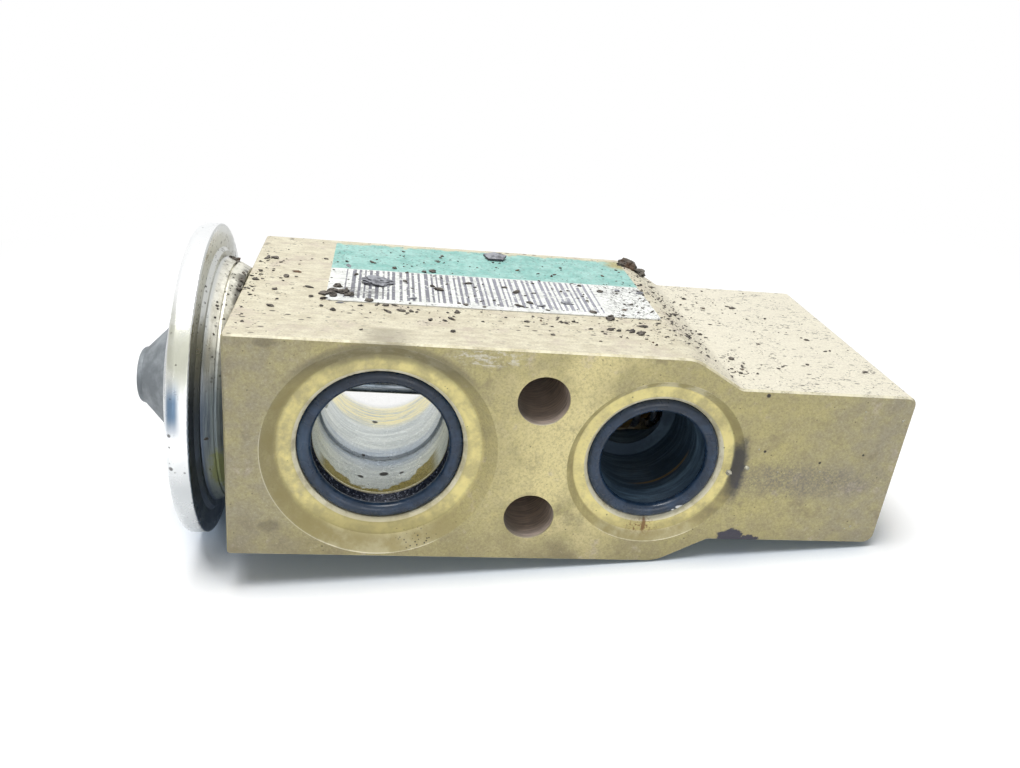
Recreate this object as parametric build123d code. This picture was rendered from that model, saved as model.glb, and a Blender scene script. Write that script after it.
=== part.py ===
from build123d import *
import math
import os

# Block-type expansion valve, in millimetres.
# +X runs along the valve axis from the power head to the adjusting screw, +Z is up,
# and the two ports open on the front face, which looks along -Y.
# The origin is where the suction bore crosses the valve axis, at mid-depth of the block.

# ---- block: a stepped bar, extruded along Y ----
block_left = -18.6
block_length = 87.2
block_depth = 40.8
wide_height = 30.1
narrow_height = 22.6
wide_end = 37.8
shoulder_run = 6.7
crest_radius = 5.0
root_radius = 1.6
end_radius = 1.4
left_radius = 0.4
face_break = 0.25

# ---- suction port, at the origin ----
suction_bore_radius = 8.65
suction_socket_depth = 14.0
suction_passage_step = 0.3
suction_rear_depth = 12.0
suction_spot_radius = 14.55
suction_spot_depth = 1.8
suction_spot_taper = 1.8
suction_land_radius = 10.9
suction_gland_radius = 10.42
suction_gland_depth = 1.9
suction_lead_step = 0.8

# ---- liquid port, on the same face ----
liquid_station = 35.3
liquid_bore_radius = 7.0
liquid_bore_depth = 15.0
liquid_spot_radius = 11.8
liquid_spot_depth = 1.05
liquid_spot_taper = 1.05
liquid_land_radius = 9.3
liquid_gland_radius = 8.8
liquid_gland_depth = 1.7
liquid_lead_step = 0.75
inlet_radius = 5.1

# ---- shared by both ports ----
lead_in_depth = 5.2
port_oring_section = 1.78
oring_wall_gap = 0.03
rear_mouth_break = 1.0

# ---- liquid outlet, on the rear face ----
outlet_station = 28.0
outlet_mouth_radius = 6.2
outlet_mouth_depth = 12.0
outlet_passage_station = 24.9
outlet_passage_radius = 2.9

# ---- mounting bolt holes ----
bolt_station = 19.5
bolt_spacing = 16.76
bolt_hole_radius = 3.3

# ---- valve axis: head thread, passage, rod seal, guide, seat and chamber ----
head_bore_radius = 11.0
head_bore_depth = 7.5
passage_radius = 3.6
seal_bore_end = 14.2
orifice_radius = 1.7
seat_station = 29.3
seat_break = 0.25
chamber_radius = 5.0
screw_thread_radius = 6.0
screw_thread_depth = 9.2
screw_mouth_break = 0.6

# ---- power head ----
neck_length = 3.8
neck_taper = 1.4
neck_root_inset = 1.3
flange_step_inset = 1.9
flange_step_drop = 0.5
neck_groove_width = 0.4
neck_groove_depth = 0.35
rim_overhang = 0.9
flange_thickness = 1.4
rim_corner_radius = 1.0
rim_lip_radius = 0.3
shell_wall = 1.2
dome_inset = 1.6
dome_slope = 2.0
dome_height = 1.9
dome_round = 0.8
charge_hole_radius = 1.1
boss_length = 6.5
boss_chamfer = 0.8
boss_bore_radius = 4.4
thread_clearance = 0.1
diaphragm_thickness = 0.2
clamp_width = 3.3
diaphragm_flat_margin = 0.3
cavity_depth = 1.1
plate_inset = 4.5
plate_thickness = 1.6
plate_clearance = 0.5
plate_hub_radius = 3.3
plate_hub_length = 2.4
plate_slots = 4
plate_slot_width = 2.0
plate_slot_depth = 0.6
stop_gap = 0.05
head_seal_section = 1.5
charge_pin_head = 2.0
charge_pin_height = 1.4
cover_base_radius = 9.0
cover_tip_radius = 3.9
cover_cone_height = 4.9
cover_tip_height = 0.75
cover_tip_round = 0.7

# ---- moving train ----
valve_lift = 0.7
rod_radius = 1.1
rod_nose_radius = 0.8
rod_nose_length = 6.0
rod_running_clearance = 0.05
rod_socket_depth = 1.5
rod_end_chamfer = 0.2
ball_radius = 2.381
carrier_nose_radius = 3.2
ball_in_cup = 1.6
cup_floor_gap = 0.3
carrier_flange_gap = 0.3
carrier_flange_thickness = 1.4
carrier_pilot_length = 3.0
carrier_nose_length = 2.6
damper_thickness = 0.25
damper_root_radius = 4.3
damper_leaves = 3
damper_leaf_width = 1.8
damper_wall_gap = 0.08
rod_seal_section = 1.5
seal_running_clearance = 0.02
washer_thickness = 1.0
washer_bore_clearance = 0.25
clip_thickness = 0.4
clip_hub_radius = 2.1
clip_hole_clearance = 0.45
clip_teeth = 6

# ---- spring and adjusting screw ----
spring_wire = 1.2
spring_turns = 6.5
spring_length = 16.4
spring_pilot_clearance = 0.2
spring_wall_clearance = 0.5
spring_end_gap = 0.02
screw_slip_clearance = 0.1
screw_recess = 2.0
screw_pilot_length = 2.0
screw_shoulder_gap = 1.4
screw_socket_flats = 5.0
screw_socket_depth = 4.5
screw_oring_section = 1.5
screw_oring_lead = 1.4
screw_groove_play = 0.3
screw_chamfer = 0.5

# ---- label on the top face ----
label_left = -7.9
label_length = 44.8
label_front = -7.4
label_width = 26.1
label_thickness = 0.12
label_corner = 0.8

# ---- stations along the valve axis that follow from the sizes above ----
block_right = block_left + block_length
block_front = -block_depth / 2
block_top = wide_height / 2
flange_underside = block_left - neck_length
flange_top = flange_underside - flange_thickness
diaphragm_top = flange_top - diaphragm_thickness
rim_top = diaphragm_top - shell_wall
rim_radius = block_depth / 2 + rim_overhang
shell_inner_radius = rim_radius - shell_wall
flange_step_radius = shell_inner_radius - flange_step_inset
neck_root_radius = flange_step_radius - neck_root_inset
neck_radius = neck_root_radius - neck_taper
diaphragm_ring_radius = shell_inner_radius - clamp_width
dome_radius = diaphragm_ring_radius - dome_inset
dome_flat_radius = dome_radius - dome_slope
plate_radius = diaphragm_ring_radius - plate_inset
diaphragm_flat_radius = plate_radius + diaphragm_flat_margin
boss_radius = head_bore_radius - thread_clearance
dome_top = rim_top - dome_height
plate_top = flange_top + valve_lift
plate_bottom = plate_top + plate_thickness
hub_end = plate_bottom + plate_hub_length
rod_start = hub_end - rod_socket_depth
ball_closed = seat_station + math.sqrt(ball_radius**2 - (orifice_radius + seat_break / 2) ** 2)
ball_open = ball_closed + valve_lift
rod_end = ball_open - ball_radius
passage_end = outlet_passage_station
guide_radius = rod_radius + rod_running_clearance
seal_bore_radius = rod_radius + seal_running_clearance + rod_seal_section + oring_wall_gap
washer_start = seal_bore_end - rod_seal_section - washer_thickness
carrier_nose_start = ball_open + ball_radius - ball_in_cup
carrier_flange_start = carrier_nose_start + carrier_nose_length
spring_start = carrier_flange_start + carrier_flange_thickness
spring_outer = chamber_radius - spring_wall_clearance
spring_mean = spring_outer - spring_wire / 2
pilot_radius = spring_mean - spring_wire / 2 - spring_pilot_clearance
screw_inner = spring_start + spring_length
screw_outer = block_right - screw_recess
screw_thread_start = block_right - screw_thread_depth
screw_shoulder = screw_thread_start + screw_shoulder_gap


def turned(outline):
    """A solid of revolution about the valve axis, from (station, radius) corners."""
    return revolve(Plane.XZ * make_face(Polyline(*outline, close=True)), Axis.X)


def ring(mean_radius, section_radius, station):
    """A torus round the valve axis."""
    section = Plane.XZ * Pos(station, mean_radius) * Circle(section_radius)
    return revolve(section, Axis.X)


def rounded(solid, station, radius, size):
    """The solid with its circular edge at this station and radius rounded off."""
    circles = solid.edges().filter_by(GeomType.CIRCLE)
    edge = [e for e in circles if abs(e.radius - radius) < 0.01 and abs(e.center().X - station) < 0.01]
    return fillet(edge, size)


def along_port(outline, station):
    """A solid of revolution about a port's axis, from (radius, depth below the front face) corners."""
    corners = [(radius, block_front + depth) for radius, depth in outline]
    profile = make_face(Polyline(*corners, close=True))
    return Pos(station, 0, 0) * revolve(profile, Axis.Y)


def hex_prism(flats, start, length):
    """A hexagonal prism on the valve axis."""
    outline = RegularPolygon(flats / 2, 6, major_radius=False)
    return Plane.YZ.offset(start) * extrude(outline, length)


def bar_profile():
    """The stepped outline of the bar, rounded where the extrusion is rounded."""
    half_wide = wide_height / 2
    half_narrow = narrow_height / 2
    narrow_start = wide_end + shoulder_run
    upper = [
        (block_left, half_wide),
        (wide_end, half_wide),
        (narrow_start, half_narrow),
        (block_right, half_narrow),
    ]
    lower = [(x, -z) for x, z in reversed(upper)]
    face = make_face(Polyline(*upper, *lower, close=True))
    rounds = [
        (block_left, left_radius),
        (wide_end, crest_radius),
        (narrow_start, root_radius),
        (block_right, end_radius),
    ]
    for station, radius in rounds:
        corners = [v for v in face.vertices() if abs(v.X - station) < 0.01]
        face = fillet(corners, radius)
    return face


def bar():
    """The bar cut to the block's depth, with its cut edges broken."""
    solid = Plane.XZ.offset(-block_depth / 2) * extrude(bar_profile(), block_depth)
    outline = solid.faces().sort_by(Axis.Y)[0].edges() + solid.faces().sort_by(Axis.Y)[-1].edges()
    return chamfer(outline, face_break)


def spot_face(radius, depth, taper):
    """The corners of a port's tapered spot face."""
    return [(0, -1), (radius, -1), (radius, 0), (radius - taper, depth)]


def gland(land_radius, radius, land_depth, floor):
    """The corners of an O-ring's gland, from its broken edge in the land to its floor."""
    return [(land_radius, land_depth), (radius, land_depth + land_radius - radius), (radius, floor)]


def suction_port():
    """The suction line's passage, a little wider where a tube enters at each face."""
    passage = suction_bore_radius - suction_passage_step
    spot = spot_face(suction_spot_radius, suction_spot_depth, suction_spot_taper)
    floor = suction_spot_depth + suction_gland_depth
    seat = gland(suction_land_radius, suction_gland_radius, suction_spot_depth, floor)
    bore = [
        (suction_bore_radius + suction_lead_step, floor),
        (suction_bore_radius, lead_in_depth),
        (suction_bore_radius, suction_socket_depth),
        (passage, suction_socket_depth + suction_passage_step),
        (passage, block_depth - suction_rear_depth - suction_passage_step),
        (suction_bore_radius, block_depth - suction_rear_depth),
        (suction_bore_radius, block_depth - rear_mouth_break),
        (suction_bore_radius + 2 * rear_mouth_break, block_depth + rear_mouth_break),
        (0, block_depth + rear_mouth_break),
    ]
    return along_port(spot + seat + bore, 0)


def liquid_port():
    """The blind bore of the liquid line and the narrower inlet at its floor."""
    spot = spot_face(liquid_spot_radius, liquid_spot_depth, liquid_spot_taper)
    floor = liquid_spot_depth + liquid_gland_depth
    seat = gland(liquid_land_radius, liquid_gland_radius, liquid_spot_depth, floor)
    bore = [
        (liquid_bore_radius + liquid_lead_step, floor),
        (liquid_bore_radius, lead_in_depth),
        (liquid_bore_radius, liquid_bore_depth),
        (inlet_radius, liquid_bore_depth),
        (inlet_radius, block_depth / 2),
        (0, block_depth / 2),
    ]
    return along_port(spot + seat + bore, liquid_station)


def outlet_port():
    """The outlet on the rear face: a mouth for the evaporator's tube and a passage to the valve axis."""
    floor = block_depth - outlet_mouth_depth
    mouth = [
        (0, floor),
        (outlet_mouth_radius, floor),
        (outlet_mouth_radius, block_depth - rear_mouth_break),
        (outlet_mouth_radius + 2 * rear_mouth_break, block_depth + rear_mouth_break),
        (0, block_depth + rear_mouth_break),
    ]
    reach = block_depth / 2 - orifice_radius
    passage = [
        (0, reach - outlet_passage_radius / 2),
        (outlet_passage_radius, reach),
        (outlet_passage_radius, floor + rear_mouth_break),
        (0, floor + rear_mouth_break),
    ]
    return along_port(mouth, outlet_station) + along_port(passage, outlet_passage_station)


def bolt_holes():
    """The two through holes of the mounting bolts."""
    hole = Rot(90, 0, 0) * Cylinder(bolt_hole_radius, block_depth + 2)
    return [Pos(bolt_station, 0, side * bolt_spacing / 2) * hole for side in (-1, 1)]


def axis_bores():
    """Everything drilled along the valve axis, from the head's thread to the adjusting screw's."""
    groove_radius = boss_radius + head_seal_section
    groove_end = block_left + head_seal_section
    head_bore_end = block_left + head_bore_depth
    outline = [
        (block_left - 1, 0),
        (block_left - 1, groove_radius),
        (groove_end, groove_radius),
        (groove_end, head_bore_radius),
        (head_bore_end, head_bore_radius),
        (head_bore_end, passage_radius),
        (0, passage_radius),
        (0, seal_bore_radius),
        (seal_bore_end, seal_bore_radius),
        (seal_bore_end, guide_radius),
        (passage_end, guide_radius),
        (passage_end, orifice_radius),
        (seat_station - seat_break, orifice_radius),
        (seat_station, orifice_radius + seat_break),
        (seat_station, chamber_radius),
        (screw_thread_start, chamber_radius),
        (screw_thread_start, screw_thread_radius),
        (block_right - screw_mouth_break, screw_thread_radius),
        (block_right + screw_mouth_break, screw_thread_radius + 2 * screw_mouth_break),
        (block_right + screw_mouth_break, 0),
    ]
    return turned(outline)


def valve_body():
    """The block with all its ports and bores."""
    cutters = [suction_port(), liquid_port(), outlet_port(), axis_bores()] + bolt_holes()
    return bar() - cutters


def label():
    """The sticker on the wide part of the top face."""
    sheet = RectangleRounded(label_length, label_width, label_corner)
    centre = Pos(label_left + label_length / 2, label_front + label_width / 2, block_top)
    return centre * extrude(sheet, label_thickness)


def port_oring(gland_radius, floor, station):
    """An O-ring lying on its gland's floor, just clear of the gland's wall."""
    section = port_oring_section / 2
    centre = gland_radius - oring_wall_gap - section
    circle = Pos(centre, block_front + floor - section) * Circle(section)
    return Pos(station, 0, 0) * revolve(circle, Axis.Y)


def head_cap():
    """The drawn outer shell: a rim wall, a flat annulus, a raised dome and the charging hole."""
    outer = [
        (flange_underside, rim_radius),
        (rim_top, rim_radius),
        (rim_top, dome_radius),
        (dome_top, dome_flat_radius),
        (dome_top, charge_hole_radius),
    ]
    inner = [
        (dome_top + shell_wall, charge_hole_radius),
        (dome_top + shell_wall, dome_flat_radius),
        (diaphragm_top, dome_radius),
        (diaphragm_top, shell_inner_radius),
        (flange_underside, shell_inner_radius),
    ]
    shell = turned(outer + inner)
    shell = rounded(shell, rim_top, rim_radius, rim_corner_radius)
    shell = rounded(shell, flange_underside, rim_radius, rim_lip_radius)
    return rounded(shell, dome_top, dome_flat_radius, dome_round)


def head_base():
    """The turned lower half: flange, stepped neck, threaded boss and the cavity under the diaphragm."""
    groove_start = block_left - neck_length / 2
    step_end = flange_underside + flange_step_drop
    slope = (neck_root_radius - neck_radius) / (block_left - step_end)
    groove_radius = neck_root_radius - slope * (groove_start - step_end) - neck_groove_depth
    ledge = plate_bottom + stop_gap
    boss_end = block_left + boss_length
    pocket_radius = plate_radius + plate_clearance
    outside = [
        (flange_top, shell_inner_radius),
        (flange_underside, shell_inner_radius),
        (flange_underside, flange_step_radius),
        (step_end, flange_step_radius - flange_step_drop),
        (step_end, neck_root_radius),
        (groove_start, groove_radius + neck_groove_depth),
        (groove_start, groove_radius),
        (groove_start + neck_groove_width, groove_radius),
        (groove_start + neck_groove_width, groove_radius + neck_groove_depth),
        (block_left, neck_radius),
        (block_left, boss_radius),
        (boss_end - boss_chamfer, boss_radius),
        (boss_end, boss_radius - boss_chamfer),
    ]
    inside = [
        (boss_end, boss_bore_radius),
        (ledge, boss_bore_radius),
        (ledge, pocket_radius),
        (flange_top + cavity_depth, pocket_radius),
        (flange_top + cavity_depth, diaphragm_ring_radius),
        (flange_top, diaphragm_ring_radius),
    ]
    return turned(outside + inside)


def diaphragm():
    """The thin disc clamped at the rim and pushed down to the stop plate."""
    below = [
        (flange_top, shell_inner_radius),
        (flange_top, diaphragm_ring_radius),
        (plate_top, diaphragm_flat_radius),
        (plate_top, 0),
    ]
    above = [(station - diaphragm_thickness, radius) for station, radius in reversed(below)]
    return turned(below + above)


def stop_plate():
    """The plate under the diaphragm, with a hub for the rod and grooves that let pressure past its stop."""
    plate = turned(
        [
            (plate_top, 0),
            (plate_top, plate_radius),
            (plate_bottom, plate_radius),
            (plate_bottom, plate_hub_radius),
            (hub_end, plate_hub_radius),
            (hub_end, rod_radius),
            (rod_start, rod_radius),
            (rod_start, 0),
        ]
    )
    reach = plate_radius - plate_hub_radius
    groove = Box(2 * plate_slot_depth, plate_slot_width, reach)
    groove = Pos(plate_bottom, 0, plate_hub_radius + reach / 2 + 0.5) * groove
    return plate - [Rot(360 * n / plate_slots, 0, 0) * groove for n in range(plate_slots)]


def charge_pin():
    """The pin that closes the charging hole."""
    head_top = dome_top - charge_pin_height
    return turned(
        [
            (dome_top + shell_wall, 0),
            (dome_top + shell_wall, charge_hole_radius),
            (dome_top, charge_hole_radius),
            (dome_top, charge_pin_head),
            (head_top, charge_hole_radius),
            (head_top, 0),
        ]
    )


def charge_cover():
    """The cone cast over the charging pin."""
    cone_end = dome_top - cover_cone_height
    tip_end = cone_end - cover_tip_height
    head_top = dome_top - charge_pin_height
    cone = turned(
        [
            (dome_top, charge_pin_head),
            (dome_top, cover_base_radius),
            (cone_end, cover_tip_radius),
            (tip_end, cover_tip_radius),
            (tip_end, 0),
            (head_top, 0),
            (head_top, charge_hole_radius),
        ]
    )
    return rounded(cone, tip_end, cover_tip_radius, cover_tip_round)


def head_seal():
    """The O-ring round the boss, between the neck's shoulder and the block."""
    section = head_seal_section / 2
    return ring(boss_radius + section, section, block_left + section)


def push_rod():
    """The rod from the stop plate to the ball, thinner where it passes the orifice."""
    nose_start = rod_end - rod_nose_length
    step = rod_radius - rod_nose_radius
    return turned(
        [
            (rod_start, 0),
            (rod_start, rod_radius),
            (nose_start - step, rod_radius),
            (nose_start, rod_nose_radius),
            (rod_end - rod_end_chamfer, rod_nose_radius),
            (rod_end, rod_nose_radius - rod_end_chamfer),
            (rod_end, 0),
        ]
    )


def rod_seal():
    """The O-ring that the rod slides through."""
    section = rod_seal_section / 2
    return ring(rod_radius + seal_running_clearance + section, section, seal_bore_end - section)


def seal_washer():
    """The washer that backs the rod seal."""
    inner = rod_radius + washer_bore_clearance
    washer = Cylinder(seal_bore_radius, washer_thickness) - Cylinder(inner, washer_thickness)
    return Pos(washer_start + washer_thickness / 2, 0, 0) * Rot(0, 90, 0) * washer


def seal_clip():
    """The toothed ring pushed in against the washer."""
    inner = rod_radius + clip_hole_clearance
    disc = Cylinder(seal_bore_radius, clip_thickness) - Cylinder(inner, clip_thickness)
    notch_length = seal_bore_radius - clip_hub_radius + 1
    notch_width = math.pi * seal_bore_radius / clip_teeth
    notch = Pos(clip_hub_radius + notch_length / 2, 0, 0) * Box(notch_length, notch_width, clip_thickness)
    toothed = disc - [Rot(0, 0, 360 * n / clip_teeth) * notch for n in range(clip_teeth)]
    return Pos(washer_start - clip_thickness / 2, 0, 0) * Rot(0, 90, 0) * toothed


def valve_ball():
    """The ball, held open off its seat."""
    return Pos(ball_open, 0, 0) * Sphere(ball_radius)


def ball_carrier():
    """The guide that holds the ball in a conical cup and centres the spring."""
    cup_apex = ball_open + ball_radius * math.sqrt(2)
    cup_floor = ball_open + ball_radius + cup_floor_gap
    flange_radius = chamber_radius - carrier_flange_gap
    pilot_end = spring_start + carrier_pilot_length
    return turned(
        [
            (cup_floor, 0),
            (cup_floor, cup_apex - cup_floor),
            (carrier_nose_start, cup_apex - carrier_nose_start),
            (carrier_nose_start, carrier_nose_radius),
            (carrier_flange_start, carrier_nose_radius),
            (carrier_flange_start, flange_radius),
            (spring_start, flange_radius),
            (spring_start, pilot_radius),
            (pilot_end, pilot_radius),
            (pilot_end, 0),
        ]
    )


def damper_spring():
    """A thin washer on the carrier with leaves that bear on the chamber's wall."""
    tip_radius = math.sqrt((chamber_radius - damper_wall_gap) ** 2 - (damper_leaf_width / 2) ** 2)
    washer = turned(
        [
            (carrier_flange_start, carrier_nose_radius),
            (carrier_flange_start, damper_root_radius),
            (carrier_flange_start - damper_thickness, damper_root_radius),
            (carrier_flange_start - damper_thickness, carrier_nose_radius),
        ]
    )
    strip = [
        (carrier_flange_start, damper_root_radius - damper_thickness),
        (carrier_flange_start, damper_root_radius),
        (carrier_nose_start, tip_radius),
        (carrier_nose_start, tip_radius - damper_thickness),
    ]
    leaf = Plane.XZ * make_face(Polyline(*strip, close=True))
    leaf = Pos(0, damper_leaf_width / 2, 0) * extrude(leaf, damper_leaf_width)
    return washer + [Rot(360 * n / damper_leaves - 90, 0, 0) * leaf for n in range(damper_leaves)]


def superheat_spring():
    """The coil spring between the carrier and the adjusting screw, with ground ends."""
    pitch = spring_length / spring_turns
    path = Helix(pitch, spring_length + 2 * spring_wire, spring_mean)
    section = Plane(path @ 0, z_dir=path % 0) * Circle(spring_wire / 2)
    coil = sweep(section, path, is_frenet=True)
    ground = Cylinder(spring_outer + 1, spring_length - 2 * spring_end_gap)
    ground = Pos(0, 0, spring_length / 2 + spring_wire) * ground
    return Pos(spring_start - spring_wire, 0, 0) * Rot(0, 90, 0) * (coil & ground)


def adjusting_screw():
    """The plug that closes the chamber, with a hex socket and a groove for its O-ring."""
    slip_radius = chamber_radius - screw_slip_clearance
    thread_radius = screw_thread_radius - thread_clearance
    groove_radius = chamber_radius - screw_oring_section - 2 * seal_running_clearance
    groove_start = screw_inner + screw_oring_lead
    groove_end = groove_start + screw_oring_section + screw_groove_play
    pilot_start = screw_inner - screw_pilot_length
    plug = turned(
        [
            (pilot_start, 0),
            (pilot_start, pilot_radius - screw_chamfer),
            (pilot_start + screw_chamfer, pilot_radius),
            (screw_inner, pilot_radius),
            (screw_inner, slip_radius),
            (groove_start, slip_radius),
            (groove_start, groove_radius),
            (groove_end, groove_radius),
            (groove_end, slip_radius),
            (screw_shoulder, slip_radius),
            (screw_shoulder, thread_radius - screw_chamfer),
            (screw_shoulder + screw_chamfer, thread_radius),
            (screw_outer - screw_chamfer, thread_radius),
            (screw_outer, thread_radius - screw_chamfer),
            (screw_outer, 0),
        ]
    )
    return plug - hex_prism(screw_socket_flats, screw_outer - screw_socket_depth, screw_socket_depth)


def screw_oring():
    """The O-ring in the adjusting screw's groove."""
    section = screw_oring_section / 2
    station = screw_inner + screw_oring_lead + (screw_oring_section + screw_groove_play) / 2
    return ring(chamber_radius - seal_running_clearance - section, section, station)


parts = {
    "valve_body": valve_body(),
    "label": label(),
    "suction_oring": port_oring(suction_gland_radius, suction_spot_depth + suction_gland_depth, 0),
    "liquid_oring": port_oring(liquid_gland_radius, liquid_spot_depth + liquid_gland_depth, liquid_station),
    "head_cap": head_cap(),
    "head_base": head_base(),
    "diaphragm": diaphragm(),
    "stop_plate": stop_plate(),
    "charge_pin": charge_pin(),
    "charge_cover": charge_cover(),
    "head_seal": head_seal(),
    "push_rod": push_rod(),
    "rod_seal": rod_seal(),
    "seal_washer": seal_washer(),
    "seal_clip": seal_clip(),
    "valve_ball": valve_ball(),
    "ball_carrier": ball_carrier(),
    "damper_spring": damper_spring(),
    "superheat_spring": superheat_spring(),
    "adjusting_screw": adjusting_screw(),
    "screw_oring": screw_oring(),
}

os.makedirs("parts", exist_ok=True)
for name, shape in parts.items():
    export_step(shape, f"parts/{name}.step")
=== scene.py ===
import math
import random

import bmesh
import bpy
from mathutils import Matrix, Vector, noise


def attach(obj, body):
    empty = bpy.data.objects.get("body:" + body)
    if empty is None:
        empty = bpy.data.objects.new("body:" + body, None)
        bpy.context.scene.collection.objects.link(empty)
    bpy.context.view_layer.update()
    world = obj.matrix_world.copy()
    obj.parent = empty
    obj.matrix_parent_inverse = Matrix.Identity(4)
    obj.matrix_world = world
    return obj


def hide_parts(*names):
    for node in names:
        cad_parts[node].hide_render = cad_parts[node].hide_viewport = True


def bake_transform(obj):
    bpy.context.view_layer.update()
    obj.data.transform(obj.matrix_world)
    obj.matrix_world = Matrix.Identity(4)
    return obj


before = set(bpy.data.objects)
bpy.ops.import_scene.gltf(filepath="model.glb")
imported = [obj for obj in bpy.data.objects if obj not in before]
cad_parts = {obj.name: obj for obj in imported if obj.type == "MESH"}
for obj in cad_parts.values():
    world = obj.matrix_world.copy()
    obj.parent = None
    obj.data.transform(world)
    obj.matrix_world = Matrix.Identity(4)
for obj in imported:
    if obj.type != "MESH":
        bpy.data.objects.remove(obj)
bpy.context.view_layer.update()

MM = 0.001

# ---- the block, in mm: X runs along it from the head, Y to its rear face and Z up ----
FRONT = -20.4
WIDE_TOP = 15.05
NARROW_TOP = 11.3
WIDE_END = 37.8
NARROW_START = 44.5
GRIT_LEFT = -18.3
GRIT_RIGHT = 66.8
GRIT_REACH_Y = 19.4

# ---- ports and holes: radii, and places on X, Y or Z, in mm ----
SUCTION_BORE = 8.65
SUCTION_SPOT = 14.55
SUCTION_LAND = 12.75
SUCTION_EDGE = 10.9
SUCTION_GLAND = 10.42
LEAD_IN_Y = -15.2
LIQUID_X = 35.3
LIQUID_BORE_END = -1
LIQUID_SPOT = 11.8
LIQUID_LAND = 10.75
LIQUID_EDGE = 9.3
LIQUID_GLAND = 8.8
BOLT_X = 19.5
BOLT_Z = 8.38
BOLT_HOLE = 3.3

# ---- the head: its outer face, the flange's underside and the neck, in mm ----
CAP_FACE = -25.2
FLANGE_UNDERSIDE = -21.3
NECK_START = -21.9
NECK_RADIUS = 16.9
NECK_TAPER = 0.42

# ---- pieces that flex: the stations on X between which each one gives, in mm ----
DISC_HELD = -23.8
DISC_PUSHED = -23.3
SPRING_INNER_END = 36.31
SPRING_MIDDLE = 44.5
SPRING_OUTER_END = 52.71

# ---- the label, in mm ----
LABEL_TOP = 15.17
LABEL_LEFT = -7.9
LABEL_RIGHT = 36.9
LABEL_FRONT = -7.4
LABEL_BACK = 18.7
LABEL_BAND_Y = 6.1
STRIPES_LEFT = -5.7
STRIPES_RIGHT = 29.3

# ---- what it stands on, as X and Z: the rim's lowest point and the block's edge at the shoulder ----
REST_LEFT = (-23.4, -21.3)
REST_RIGHT = (WIDE_END, -WIDE_TOP)

# ---- the floor: half its width in metres, then its drop, its near shade and where it whitens, in mm ----
FLOOR_REACH_M = 3
FLOOR_DROP = 0.02
FLOOR_MIDDLE = 25
NEAR_SHADE = 9
WHITENS_FROM = 80
WHITE_FROM = 200

# ---- light and camera: distances with _M in metres, and the camera's place in mm ----
SEEN_RAYS = ("Is Camera Ray", "Is Glossy Ray", "Is Transmission Ray")
PLAIN_WHITE = (1, 1, 1, 1)
GLOW_BLUE = (0.45, 0.7, 1.0, 1)
ROOM_LIGHT = 0.25
ROOM_SEEN = 1.0
FLOOR_GLOW = 0.03
LIT_POINT_M = (0.025, 0, 0)
LENS = 31.01
SENSOR_WIDTH = 36.0
NEAREST_SEEN_M = 0.005
CAMERA_PLACE = (-1.06, -115.5, 54.26)
CAMERA_RIGHT = (0.9873, -0.1178, 0.1065)
CAMERA_AHEAD = (0.1517, 0.8981, -0.4129)


def colour(red, green, blue):
    """A colour given as it is seen, in steps from 0 to 255, for a shader's linear socket."""
    seen = [c / 255 for c in (red, green, blue)]
    return [c / 12.92 if c <= 0.04045 else ((c + 0.055) / 1.055) ** 2.4 for c in seen] + [1]


# ---- colours of the block ----
GOLD = colour(187, 177, 121)
GOLD_DULL = colour(171, 161, 120)
GOLD_GREY = colour(157, 150, 128)
GOLD_BRIGHT = colour(229, 216, 158)
GOLD_SHADED = colour(104, 98, 80)
OLIVE = colour(152, 141, 94)
LAND_YELLOW = colour(238, 225, 154)
# Pale wear on edges, also used for painted highlights on two edges of the suction port.
WORN_EDGE_AND_GLINT = colour(232, 226, 200)
GRAIN_BROWN = colour(112, 102, 72)
CREAM = colour(228, 222, 198)
CREAM_PALE = colour(236, 231, 213)
DUSTY = colour(206, 198, 174)
DUST_BROWN = colour(140, 128, 100)
PINK_GREY = colour(196, 182, 170)
# A smudge colour, also used for painted shade low on the front face.
SMUDGE_AND_SHADE = colour(128, 118, 92)
SOOT = colour(52, 48, 44)
BLUE_BLACK = colour(40, 44, 62)
RUST = colour(122, 82, 46)
SMEAR_GREY = colour(112, 107, 104)
TRAIL_GREY = colour(92, 88, 88)
CHIPPED = colour(58, 56, 68)
SCRAPED = colour(216, 212, 198)
BRUISED = colour(92, 86, 76)
DOT_BROWN = colour(76, 68, 50)

# ---- colours of the bores and bolt holes ----
SILVER = colour(218, 223, 220)
SILVER_DIM = colour(190, 197, 196)
SILVER_YELLOW = colour(244, 234, 182)
# Painted light at the rear of the suction bore.
BACKLIT_WHITE = colour(255, 255, 254)
BLUE_GREY = colour(164, 176, 190)
BORE_SHADE = colour(58, 66, 68)
OIL = colour(136, 122, 30)
# The lead-in's oily black in painted shade, and its painted glints.
WET_SHADED_BLACK = colour(24, 32, 48)
WET_GLINT = colour(176, 182, 200)
SHADED_DEEP_BLUE = colour(44, 64, 82)
SHADED_SLATE_BLUE = colour(92, 116, 134)
BROWN_GLINT = colour(138, 112, 68)
DRILLED_BROWN = colour(168, 154, 144)
DRILLED_PINK = colour(204, 188, 174)
DRILLED_SHADE = colour(104, 104, 96)

# ---- colours of the label ----
MINT = colour(130, 187, 178)
MINT_PALE = colour(170, 214, 206)
LABEL_WHITE = colour(246, 248, 243)
LABEL_GREYED = colour(204, 205, 202)
LILAC_GREY = colour(136, 136, 152)
STRIPE_DARK = colour(100, 100, 114)
RUBBED = colour(206, 200, 168)
BURNT_YELLOW = colour(186, 164, 98)
LABEL_GRIT = colour(70, 66, 72)
LABEL_RIM = colour(120, 112, 96)
LABEL_GRAIN = colour(110, 110, 104)

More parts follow.
